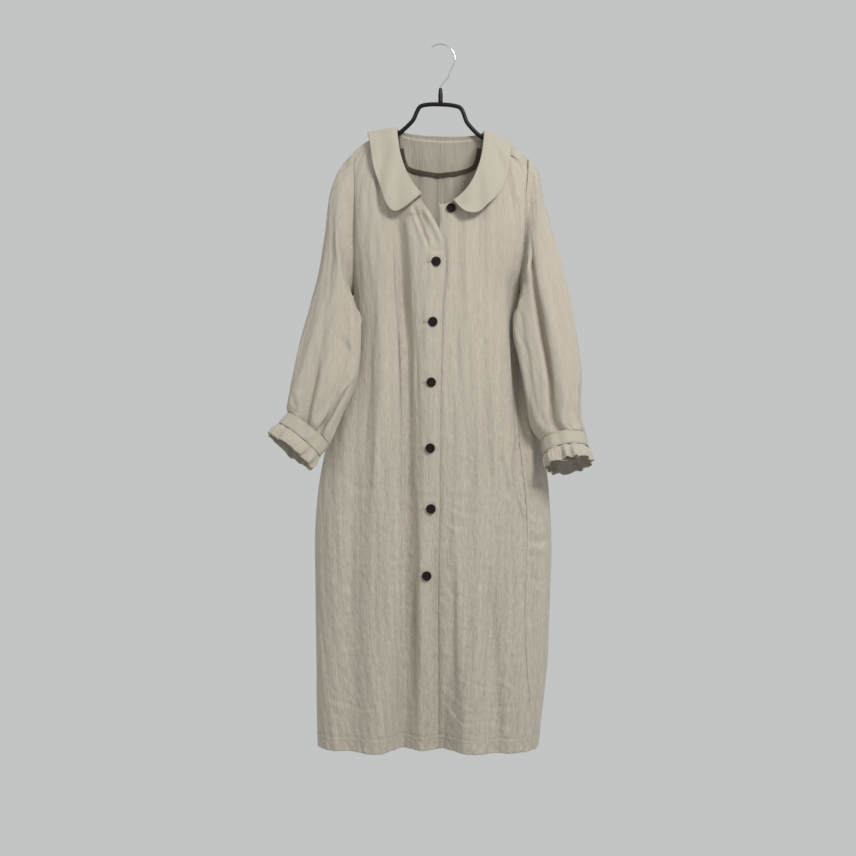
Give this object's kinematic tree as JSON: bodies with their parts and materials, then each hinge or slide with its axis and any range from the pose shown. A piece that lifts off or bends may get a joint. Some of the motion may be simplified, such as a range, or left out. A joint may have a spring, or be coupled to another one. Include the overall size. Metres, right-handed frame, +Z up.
{
  "type": "long coat on a hanger",
  "caption": "Long button-through coat in crinkled oatmeal cloth with a flat round collar, dark buttons and frilled cuffs, hanging on a black hanger with a wire hook.",
  "frame": {"origin": "inner top of the hanger's hook, where the hook rests on what holds it", "axes": "+Z up, +X to the wearer's left, the front faces -Y"},
  "size_m": [0.6042, 0.2091, 1.3416],
  "materials": {
    "coat_cloth": "crinkled matt cotton and linen cloth",
    "collar_cloth": "the same cloth, pressed smooth",
    "binding": "dark woven bias tape",
    "buttons": "dark brown, softly polished",
    "hanger_plastic": "black non-slip coating",
    "hook_metal": "bright plated wire"
  },
  "bodies": {
    "root": {"front_right": "coat_cloth", "front_left": "coat_cloth", "back_right": "coat_cloth", "back_left": "coat_cloth", "hem_front_right": "coat_cloth", "hem_front_left": "coat_cloth", "hem_back_right": "coat_cloth", "hem_back_left": "coat_cloth", "pocket_right": "coat_cloth", "pocket_left": "coat_cloth", "sleeve_right": "coat_cloth", "sleeve_left": "coat_cloth", "cuff_band_right": "coat_cloth", "cuff_band_left": "coat_cloth", "cuff_frill_right": "coat_cloth", "cuff_frill_left": "coat_cloth", "collar": "collar_cloth", "back_neck_facing": "coat_cloth", "facing_binding": "binding", "button_1": "buttons", "button_2": "buttons", "button_3": "buttons", "button_4": "buttons", "button_5": "buttons", "button_6": "buttons", "button_7": "buttons", "hanger_body": "hanger_plastic", "hanger_neck": "hanger_plastic", "hanger_hook": "hook_metal"}
  },
  "joints": []
}
